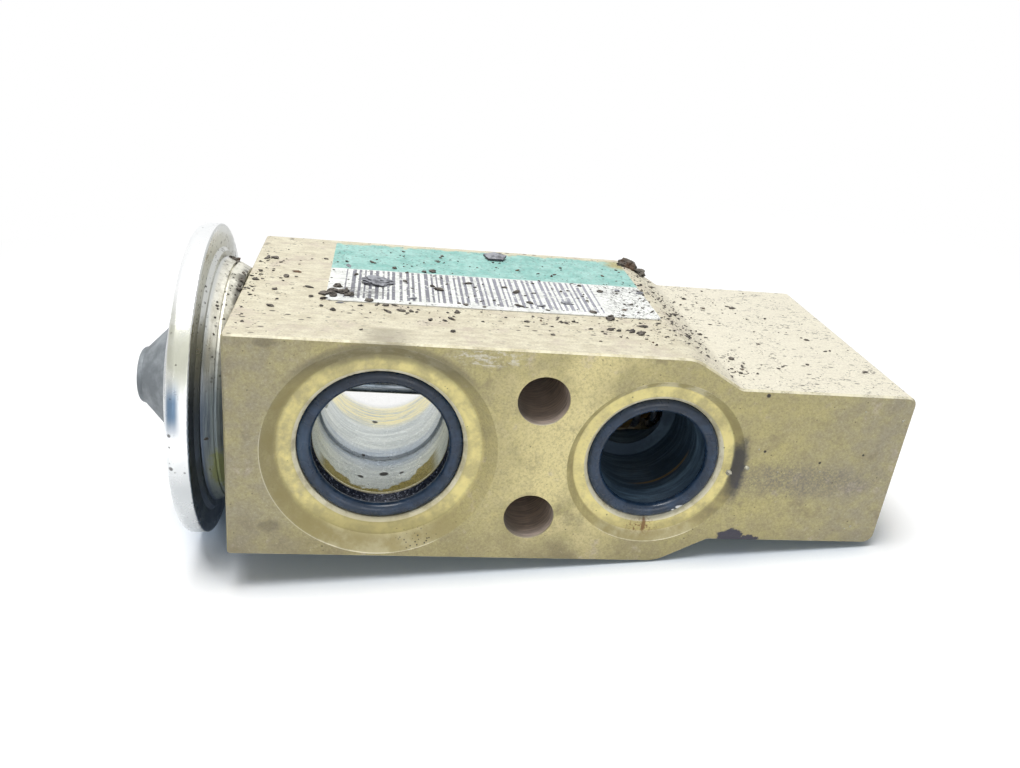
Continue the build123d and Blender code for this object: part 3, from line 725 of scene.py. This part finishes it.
def stained_steel():
    """The turned neck: painted navy shade where the rim shades it, a painted lit upper half with a painted
    highlight streak, brushed lines, and grime where it meets the block.
    """
    f = Finish("stained_steel", Metallic=0.9)
    lines = f.grain(1.1, 4, 0.65, f.stretched(5, 0.2, 0.2))
    stain = f.grain(0.35, 5, 0.7)
    # Painted light and shade: the upper neck lit in cream and tan, the lower neck in painted shade that turns
    # lighter towards the bottom, with a painted highlight streak.
    upper = f.ramp(f.z, 3, 14)
    dim = f.blend(f.ramp(lines, 0.35, 0.65), NECK_SHADE, NECK_GREY)
    streak = f.both(f.between(f.x, -20.7, -19.7, 0.5), f.ramp(lines, 0.3, 0.6, 0.3, 1.0))
    dim = f.blend(streak, dim, NECK_HIGHLIGHT)
    dim = f.blend(f.ramp(f.z, 0, -7, 0.0, 0.6), dim, NECK_LOW)
    lit = f.blend(f.ramp(stain, 0.4, 0.62), NECK_CREAM, NECK_TAN)
    tone = f.blend(upper, dim, lit)
    # Painted shade on the flange's underside: navy low down, with painted light higher up.
    flange = f.ramp(f.x, FLANGE_UNDERSIDE, FLANGE_UNDERSIDE - 0.5)
    low = f.blend(f.ramp(f.z, -12, 4), NAVY_SHADE, FLANGE_SHADE)
    tone = f.blend(flange, tone, f.blend(f.ramp(f.z, 2, 16), low, FLANGE_LIT))
    moss = f.both(f.mark(f.x, f.z, (-20.0, -6.0), (1.1, 3.4), 0.4, 0.4), f.ramp(f.y, -4, -8))
    tone = f.blend(f.part(moss, 0.7), tone, MOSS)
    # Navy patches low on the neck: painted shade broken up by the stain grain.
    tone = f.blend(f.both(f.ramp(stain, 0.56, 0.7), f.ramp(f.z, 2, -10), f.ramp(f.x, -21.5, -21)), tone, NAVY_SHADE)
    # Painted shade where the neck meets the block, stronger lower down.
    tone = f.blend(f.both(f.ramp(f.x, -19.6, -19.0), f.ramp(f.z, 12, 6, 0.3, 0.7)), tone, CORNER_SHADE)
    grit = f.both(f.ramp(f.cells(1.6), 0.2, 0.32, 1.0, 0.0), f.ramp(f.z, 2, 12), f.ramp(stain, 0.42, 0.56))
    gather = f.both(f.ramp(f.x, -19.8, -18.8), f.ramp(stain, 0.4, 0.55), f.ramp(f.z, 0, 8))
    tone = f.blend(f.either(grit, f.part(gather, 0.7)), tone, SOOT)
    f.set("Base Color", tone)
    foot = f.ramp(f.x, FLANGE_UNDERSIDE, FLANGE_UNDERSIDE + 0.4)
    f.set("Roughness", f.either(f.ramp(stain, 0.3, 0.7, 0.26, 0.5), f.part(foot, 0.55)))
    f.bump(f.calc("ADD", f.part(lines, 0.6), f.part(stain, 0.6)), 0.08, 0.6)
    return f.material


def cast_resin():
    """Grey resin, matte and slightly uneven, with a soft sheen of dust."""
    f = Finish("cast_resin", Roughness=0.6)
    mottle = f.grain(0.35, 5)
    tone = f.blend(f.ramp(mottle, 0.35, 0.7), RESIN, RESIN_PALE)
    f.set("Base Color", f.blend(f.ramp(f.grain(2.4, 3), 0.5, 0.8, 0.0, 0.5), tone, RESIN_DARK))
    f.bump(f.grain(1.1, 4, 0.6), 0.12, 0.6)
    return f.material


def bright_steel(name, low, high, scale, streak):
    """Machined, drawn or rolled steel, with its marks along one axis."""
    f = Finish(name, Metallic=1.0)
    lines = f.grain(scale, 4, 0.6, f.stretched(*streak))
    film = f.grain(0.4, 4)
    f.set("Base Color", f.blend(f.ramp(lines, 0.3, 0.7), low, high))
    f.set("Roughness", f.ramp(film, 0.3, 0.7, 0.16, 0.36))
    f.bump(lines, 0.02, 0.5)
    return f.material


def turned_brass():
    """Brass with turning rings and a little tarnish."""
    f = Finish("turned_brass", Metallic=1.0)
    rings = f.grain(1.5, 4, 0.6, f.stretched(5, 0.3, 0.3))
    tarnish = f.grain(0.4, 5)
    tone = f.blend(f.ramp(rings, 0.3, 0.7), BRASS, BRASS_BRIGHT)
    f.set("Base Color", f.blend(f.ramp(tarnish, 0.5, 0.75, 0.0, 0.6), tone, TARNISH))
    f.set("Roughness", f.ramp(tarnish, 0.3, 0.7, 0.22, 0.45))
    f.bump(rings, 0.03, 0.5)
    return f.material


def white_polymer():
    """The washer's waxy white plastic."""
    f = Finish("white_polymer", Roughness=0.45)
    mottle = f.grain(1.2, 4)
    f.set("Base Color", f.blend(f.ramp(mottle, 0.35, 0.7), WAX_WHITE, WAX_PALE))
    f.bump(f.grain(4, 3), 0.02, 0.4)
    return f.material


def dry_dirt(name, dark, light):
    """Grit, scale or crust, with painted shade on its undersides, and a few brown bits."""
    f = Finish(name, Roughness=0.85)
    patch = f.grain(0.9, 4, 0.7)
    # Painted shade: faces that turn downwards take the dark colour.
    upward = f.ramp(f.facing[2], -0.2, 0.9)
    tone = f.blend(f.both(upward, f.ramp(patch, 0.34, 0.6, 0.2, 1.0)), dark, light)
    tone = f.blend(f.ramp(f.grain(0.2, 2, place=f.stretched(shift=(9, 2, 5))), 0.62, 0.7, 0.0, 0.5), tone, RUST)
    f.set("Base Color", tone)
    f.bump(f.grain(3.5, 4, 0.7), 0.2, 0.9)
    return f.material


def dress(nodes, material):
    """Gives CAD nodes a material in place of the plain one."""
    for name in nodes:
        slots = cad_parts[name].data.materials
        slots.clear()
        slots.append(material)


def finished(name, mesh, material, body="valve"):
    """A new piece from a bmesh, riding on a body."""
    data = bpy.data.meshes.new(name)
    mesh.to_mesh(data)
    mesh.free()
    data.materials.append(material)
    piece = bpy.data.objects.new(name, data)
    bpy.context.collection.objects.link(piece)
    if body:
        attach(piece, body)
    return piece


def lump(mesh, place, size, chance, squash=0.6, stretch=1.0, rounds=1, turn=None):
    """One rough crumb, added to a mesh. Place and size are in mm.

    Squash flattens it, stretch draws it out, rounds says how finely it is cut, and a turn left out is
    drawn by chance.
    """
    made = bmesh.ops.create_icosphere(mesh, subdivisions=rounds, radius=size * MM)["verts"]
    for vert in made:
        at = vert.co / (size * MM)
        rough = noise.noise(at * 1.1 + Vector(place)) + 0.5 * noise.noise(at * 2.9 + Vector(place))
        vert.co *= 1 + 0.7 * rough
    if turn is None:
        turn = chance.gauss(0, 0.5)
    shape = Matrix.Diagonal((stretch, chance.uniform(0.55, 1.0), squash, 1.0))
    spin = Matrix.Rotation(turn, 4, "Z") @ Matrix.Rotation(chance.uniform(-0.25, 0.25), 4, "Y")
    bmesh.ops.transform(mesh, matrix=Matrix.Translation(Vector(place) * MM) @ spin @ shape, verts=made)


def top_height(x, y):
    """The height of the top face, or of the label on it, in mm."""
    slope = (WIDE_TOP - NARROW_TOP) / (NARROW_START - WIDE_END)
    if LABEL_LEFT < x < LABEL_RIGHT and LABEL_FRONT < y < LABEL_BACK:
        return LABEL_TOP
    return min(WIDE_TOP, max(NARROW_TOP, WIDE_TOP - slope * (x - WIDE_END)))


def fine_grit(material):
    """Fine grit over the top face, thicker at the step, at the front of the label and in the neck's corner."""
    chance = random.Random(7)
    mesh = bmesh.new()
    # Each heap's middle on X and Y, its spread along each, and how many grains it has.
    heaps = [
        (-16, 4, 2.5, 8, 45), (-17.4, -4, 0.7, 7, 55), (0, -10, 8, 2, 35), (20, -10, 9, 2.2, 70),
        (33, -12, 3, 2.5, 80), (40, 8, 2.4, 6, 150), (40, -8, 2.6, 5, 120), (46, -14, 3, 4, 60),
        (14, 0, 13, 5, 120), (10, 13, 14, 3.5, 90), (54, 0, 9, 11, 90), (48, 12, 6, 5, 60),
        (33, 1, 2.4, 3.5, 60),
    ]  # fmt: skip
    for x, y, along, across, count in heaps:
        for _ in range(count):
            at_x = chance.gauss(x, along)
            at_y = chance.gauss(y, across)
            size = 0.05 + 0.17 * chance.random() ** 3
            if not GRIT_LEFT < at_x < GRIT_RIGHT or abs(at_y) > GRIT_REACH_Y:
                continue
            place = (at_x, at_y, top_height(at_x, at_y) + 0.3 * size)
            lump(mesh, place, size, chance, 0.6, chance.uniform(1, 2.2))
    finished("fine_grit", mesh, material)


def clods(material):
    """The larger clods on the label, along the front of the top and in the neck's corner."""
    chance = random.Random(23)
    mesh = bmesh.new()
    # Each clod's place on X and Y, its size and how far it is drawn out.
    placed = [
        (-17.1, 8.7, 0.3, 2.2), (-16.0, 9.0, 0.4, 1.6), (-17.2, 2.8, 0.3, 1.0), (-17.4, -0.9, 0.35, 1.3),
        (-13.6, 1.1, 0.4, 1.0), (-12.3, 3.4, 0.3, 2.0), (-10.2, -2.7, 0.28, 2.0), (-9.7, -6.3, 0.3, 1.0),
        (-14.5, -4.3, 0.3, 1.4), (-14.3, -10.6, 0.35, 1.3), (-8.9, 10.2, 0.22, 1.6), (-6.6, -2.0, 0.55, 1.2),
        (-5.8, -4.6, 0.6, 1.2), (-7.9, -5.0, 0.6, 1.2), (-8.1, -6.9, 0.4, 1.2), (-8.2, -9.5, 0.25, 1.2),
        (-6.7, -10.8, 0.35, 1.0), (-4.9, -5.3, 0.5, 1.3), (-6.9, -5.7, 0.5, 1.0), (-7.1, -4.1, 0.55, 1.2),
        (-5.3, -3.6, 0.45, 1.1), (-2.1, 9.5, 0.3, 1.8), (-4.4, 3.4, 0.35, 1.0), (-5.9, 9.2, 0.25, 1.0),
        (1.0, 7.5, 0.35, 1.0), (2.4, 1.9, 0.35, 1.0), (2.7, 5.8, 0.25, 1.4), (-2.3, -6.9, 0.45, 1.3),
        (-1.2, -7.7, 0.25, 1.0), (-0.2, -8.0, 0.35, 1.5), (0.0, -10.1, 0.3, 2.4), (1.8, -9.6, 0.3, 1.5),
        (3.1, -9.6, 0.25, 1.3), (8.2, 15.1, 0.25, 1.0), (6.4, 7.0, 0.45, 1.2), (5.2, 6.6, 0.35, 1.3),
        (9.0, -9.0, 0.4, 1.0), (8.1, -11.6, 0.3, 1.8), (5.4, -12.3, 0.3, 1.0), (8.0, -15.8, 0.3, 1.0),
        (7.2, -12.3, 0.25, 1.3), (10.3, -6.3, 0.3, 1.2), (7.0, -1.0, 0.45, 1.4), (6.2, 0.4, 0.3, 1.2),
        (11.2, 2.6, 0.35, 1.6), (17.8, 0.1, 0.45, 1.7), (16.3, 1.9, 0.25, 1.6), (17.5, -5.4, 0.3, 2.2),
        (19.3, -4.1, 0.3, 1.8), (24.5, 1.8, 0.22, 1.0), (27.6, -1.6, 0.22, 1.0), (27.8, 4.9, 0.32, 1.0),
        (30.4, 2.8, 0.4, 1.3), (29.5, -7.9, 0.7, 1.0), (27.6, -6.2, 0.4, 1.4), (28.7, -12.1, 0.4, 1.3),
        (29.7, -12.3, 0.28, 1.0), (31.5, -12.3, 0.4, 1.3), (32.5, -13.0, 0.5, 1.1), (33.4, -10.2, 0.28, 2.8),
        (18.9, -8.9, 0.22, 1.2), (17.8, -10.9, 0.25, 1.4), (24.2, -9.9, 0.28, 1.0), (22.4, -10.2, 0.22, 1.0),
        (20.6, -15.0, 0.22, 1.4), (12.1, -11.8, 0.22, 1.0), (37.0, 17.2, 0.6, 1.2), (38.2, 17.9, 1.25, 1.1),
        (40.3, 18.2, 1.0, 1.2), (40.1, -9.8, 0.45, 1.1), (44.7, -2.0, 0.3, 1.6), (41.5, 0.9, 0.35, 1.4),
        (47.2, 13.6, 0.28, 1.4), (54.2, 10.5, 0.3, 2.0), (46.5, -10.7, 0.38, 1.0), (46.1, -15.3, 0.28, 1.2),
        (47.1, -13.0, 0.22, 1.0), (61.4, -1.8, 0.2, 2.6), (65.0, -12.7, 0.2, 3.4),
    ]  # fmt: skip
    for x, y, size, stretch in placed:
        rounds = 3 if size > 0.5 else 2
        place = (x, y, top_height(x, y) + 0.25 * size)
        lump(mesh, place, size, chance, 0.55, stretch, rounds)
    # On the neck: the angle up from the front in degrees, the station on X, and the size.
    neck = (
        (108, -21.4, 0.4), (106, -20.7, 0.6), (103, -20.3, 0.35), (80, -18.9, 0.4), (75, -18.95, 0.3),
        (72, -18.9, 0.4), (88, -18.9, 0.3), (58, -20.9, 0.16), (44, -20.9, 0.16), (-2, -21.3, 0.24),
    )  # fmt: skip
    for angle, station, size in neck:
        turn = math.radians(angle)
        out = NECK_RADIUS - NECK_TAPER * (station - NECK_START)
        place = (station, -out * math.cos(turn), out * math.sin(turn))
        lump(mesh, place, size, chance, 0.8, 1.0, 2)
    finished("dirt_clods", mesh, material)


def flakes(material):
    """A crust and a flat flake of scale on the label, and a few smooth pale bits."""
    chance = random.Random(5)
    mesh = bmesh.new()
    lump(mesh, (-1.6, 0.4, LABEL_TOP + 0.3), 1.5, chance, 0.3, 1.25, 4, 0.1)
    lump(mesh, (-0.2, 0.9, LABEL_TOP + 0.3), 1.0, chance, 0.3, 1.2, 3, 0.3)
    plate = bmesh.ops.create_circle(mesh, cap_ends=True, segments=5, radius=1.9 * MM)["verts"]
    faces = {face for vert in plate for face in vert.link_faces}
    grown = bmesh.ops.extrude_face_region(mesh, geom=list(faces))["geom"]
    raised = [part for part in grown if isinstance(part, bmesh.types.BMVert)]
    bmesh.ops.translate(mesh, verts=raised, vec=(0, 0, 0.3 * MM))
    tilt = Matrix.Rotation(0.16, 4, "X") @ Matrix.Diagonal((1.0, 0.72, 1.0, 1.0))
    place = Matrix.Translation(Vector((16.4, 15.6, LABEL_TOP + 0.28)) * MM)
    bmesh.ops.transform(mesh, matrix=place @ tilt, verts=plate + raised)
    bits = (
        (-6.0, -8.0, 0.3, 1.6), (-5.6, 7.3, 0.3, 2.0), (3.3, -5.1, 0.3, 2.0), (24.5, -3.2, 0.45, 2.2),
        (33.2, 3.7, 0.4, 1.5), (20.5, -4.9, 0.35, 1.8), (36.5, 3.2, 0.45, 1.4),
    )  # fmt: skip
    for x, y, size, stretch in bits:
        lump(mesh, (x, y, top_height(x, y) + 0.2 * size), size, chance, 0.4, stretch, 2)
    bmesh.ops.recalc_face_normals(mesh, faces=mesh.faces)
    finished("scale_flakes", mesh, material)


def crust_specks(material):
    """Pale specks dried on the stain beside the liquid port and on the face beyond it."""
    chance = random.Random(11)
    mesh = bmesh.new()
    specks = (
        (45.3, -0.8, 0.36), (47.6, 0.1, 0.4), (48.6, 2.9, 0.16), (57.9, -0.2, 0.2), (67.4, 7.9, 0.22),
        (61.8, 9.0, 0.15), (64.6, -8.6, 0.2), (62.2, -9.3, 0.14), (63.9, -9.0, 0.12), (52.0, -0.4, 0.12),
    )  # fmt: skip
    for x, z, size in specks:
        lump(mesh, (x, FRONT + 0.3 * size, z), size, chance, 0.9, 1.0, 2)
    finished("crust_specks", mesh, material)


def flexed(name, node, start, end, cut_side=0):
    """A copy of a spring or disc, shown in place of its CAD node.

    Start and end are the stations on X between which the real piece gives. A cut side of 1 keeps only what
    lies below the end, and -1 only what lies above the start.
    """
    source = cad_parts[node]
    mesh = bmesh.new()
    mesh.from_mesh(source.data)
    bmesh.ops.remove_doubles(mesh, verts=mesh.verts, dist=1e-7)
    if cut_side:
        cut = bmesh.ops.bisect_plane(
            mesh,
            geom=mesh.verts[:] + mesh.edges[:] + mesh.faces[:],
            plane_co=((end if cut_side > 0 else start) * MM, 0, 0),
            plane_no=(cut_side, 0, 0),
            clear_outer=True,
        )
        rim = [part for part in cut["geom_cut"] if isinstance(part, bmesh.types.BMEdge)]
        bmesh.ops.holes_fill(mesh, edges=rim)
        bmesh.ops.triangulate(mesh, faces=[face for face in mesh.faces if len(face.verts) > 4])
        bmesh.ops.recalc_face_normals(mesh, faces=mesh.faces)
    piece = finished(name, mesh, source.data.materials[0], None)
    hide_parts(node)
    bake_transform(piece)


def white_floor():
    """A pale floor, leaning to touch the rim and the block, that keeps their shadow.

    What looks at it sees it white, with a painted contact shadow close to the part and plain white far off, and
    a faint blue glow in the shadow. The light that it throws back on the part is that of a slightly grey floor.
    """
    run = REST_RIGHT[0] - REST_LEFT[0]
    rise = REST_RIGHT[1] - REST_LEFT[1]
    mesh = bmesh.new()
    bmesh.ops.create_grid(mesh, x_segments=8, y_segments=8, size=FLOOR_REACH_M)
    lean = Matrix.Rotation(-math.atan2(rise, run), 4, "Y")
    place = Matrix.Translation(Vector((REST_LEFT[0], 0, REST_LEFT[1] - FLOOR_DROP)) * MM)
    bmesh.ops.transform(mesh, matrix=place @ lean, verts=mesh.verts)
    f = Finish("white_floor", Roughness=0.9)
    path = f.node("ShaderNodeLightPath")
    seen = f.either(*(path.outputs[kind] for kind in SEEN_RAYS))
    # A painted contact shadow: the floor as seen darkens where the part is near, on top of its real shadow.
    nearby = f.node("ShaderNodeAmbientOcclusion", samples=6)
    nearby.inputs["Distance"].default_value = NEAR_SHADE * MM
    shade = f.ramp(nearby.outputs["AO"], 0.3, 0.85, 0.0, 1.0)
    shown = f.blend(shade, FLOOR_NEAR, FLOOR_WHITE)
    f.set("Base Color", f.blend(seen, FLOOR_PALE, shown))
    glow = f.node("ShaderNodeEmission")
    glow.inputs["Color"].default_value = GLOW_BLUE
    f.feed(glow.inputs["Strength"], f.part(seen, FLOOR_GLOW))
    total = f.node("ShaderNodeAddShader")
    f.feed(total.inputs[0], f.shader.outputs[0])
    f.feed(total.inputs[1], glow.outputs[0])
    white = f.node("ShaderNodeEmission")
    white.inputs["Color"].default_value = PLAIN_WHITE
    join = f.node("ShaderNodeMixShader")
    f.feed(join.inputs[0], f.both(seen, f.ramp(f.radius(f.x, f.y, FLOOR_MIDDLE), WHITENS_FROM, WHITE_FROM)))
    f.feed(join.inputs[1], total.outputs[0])
    f.feed(join.inputs[2], white.outputs[0])
    f.feed(f.tree.nodes["Material Output"].inputs["Surface"], join.outputs[0])
    finished("white_floor", mesh, f.material, None)


def lamp(name, place, size, watts):
    """A square soft light that faces the part. Its place and size are in metres."""
    data = bpy.data.lights.new(name, "AREA")
    data.shape = "SQUARE"
    data.size = size
    data.energy = watts
    holder = bpy.data.objects.new(name, data)
    bpy.context.collection.objects.link(holder)
    holder.location = place
    aim = Vector(LIT_POINT_M) - Vector(place)
    holder.rotation_euler = aim.to_track_quat("-Z", "Y").to_euler()


def studio():
    """A white room that lights the part weakly, with one soft light above and a weak one in front."""
    world = bpy.data.worlds.new("white_room")
    bpy.context.scene.world = world
    world.use_nodes = True
    tree = world.node_tree
    tree.nodes.clear()
    path = tree.nodes.new("ShaderNodeLightPath")
    level = tree.nodes.new("ShaderNodeMapRange")
    level.inputs["To Min"].default_value = ROOM_LIGHT
    level.inputs["To Max"].default_value = ROOM_SEEN
    seen = path.outputs[SEEN_RAYS[0]]
    for kind in SEEN_RAYS[1:]:
        either = tree.nodes.new("ShaderNodeMath")
        either.operation = "MAXIMUM"
        tree.links.new(seen, either.inputs[0])
        tree.links.new(path.outputs[kind], either.inputs[1])
        seen = either.outputs[0]
    back = tree.nodes.new("ShaderNodeBackground")
    back.inputs["Color"].default_value = PLAIN_WHITE
    out = tree.nodes.new("ShaderNodeOutputWorld")
    tree.links.new(seen, level.inputs["Value"])
    tree.links.new(level.outputs[0], back.inputs["Strength"])
    tree.links.new(back.outputs[0], out.inputs["Surface"])
    lamp("overhead", (-0.16, -0.08, 0.74), 0.4, 6.0)
    lamp("front_fill", (0.15, -0.75, 0.13), 0.5, 1.4)


def view():
    """The camera, from its measured place and axes."""
    data = bpy.data.cameras.new("camera")
    data.sensor_fit = "HORIZONTAL"
    data.sensor_width = SENSOR_WIDTH
    data.lens = LENS
    data.clip_start = NEAREST_SEEN_M
    holder = bpy.data.objects.new("camera", data)
    bpy.context.collection.objects.link(holder)
    right = Vector(CAMERA_RIGHT).normalized()
    back = -Vector(CAMERA_AHEAD).normalized()
    up = back.cross(right).normalized()
    right = up.cross(back)
    turn = Matrix((right, up, back)).transposed().to_4x4()
    holder.matrix_world = Matrix.Translation(Vector(CAMERA_PLACE) * MM) @ turn
    bpy.context.scene.camera = holder


dress(["valve_body"], chromated_block())
dress(["label"], printed_label())
dress(["suction_oring", "liquid_oring", "head_seal", "rod_seal", "screw_oring"], oiled_rubber())
dress(["head_cap"], drawn_steel())
dress(["head_base"], stained_steel())
dress(["charge_cover"], cast_resin())
ground = bright_steel("ground_steel", GROUND_DARK, GROUND_LIGHT, 1.8, (0.15, 3, 3))
dress(["push_rod", "charge_pin", "valve_ball"], ground)
sprung = bright_steel("spring_steel", SPRUNG_DARK, SPRUNG_LIGHT, 1.2, (1, 1, 1))
dress(["superheat_spring", "damper_spring", "seal_clip", "diaphragm"], sprung)
dress(["stop_plate", "ball_carrier", "adjusting_screw"], turned_brass())
dress(["seal_washer"], white_polymer())

dark_dirt = dry_dirt("dark_dirt", DIRT_DARK, DIRT_LIGHT)
grey_scale = dry_dirt("grey_scale", SCALE_DARK, SCALE_LIGHT)
pale_crust = dry_dirt("pale_crust", CRUST_DARK, CRUST_LIGHT)
fine_grit(dark_dirt)
clods(dark_dirt)
flakes(grey_scale)
crust_specks(pale_crust)
flexed("diaphragm_flexed", "diaphragm", DISC_HELD, DISC_PUSHED)
flexed("spring_inner_half", "superheat_spring", SPRING_INNER_END, SPRING_MIDDLE, 1)
flexed("spring_outer_half", "superheat_spring", SPRING_MIDDLE, SPRING_OUTER_END, -1)

white_floor()
studio()
view()
bpy.context.scene.view_settings.view_transform = "Standard"
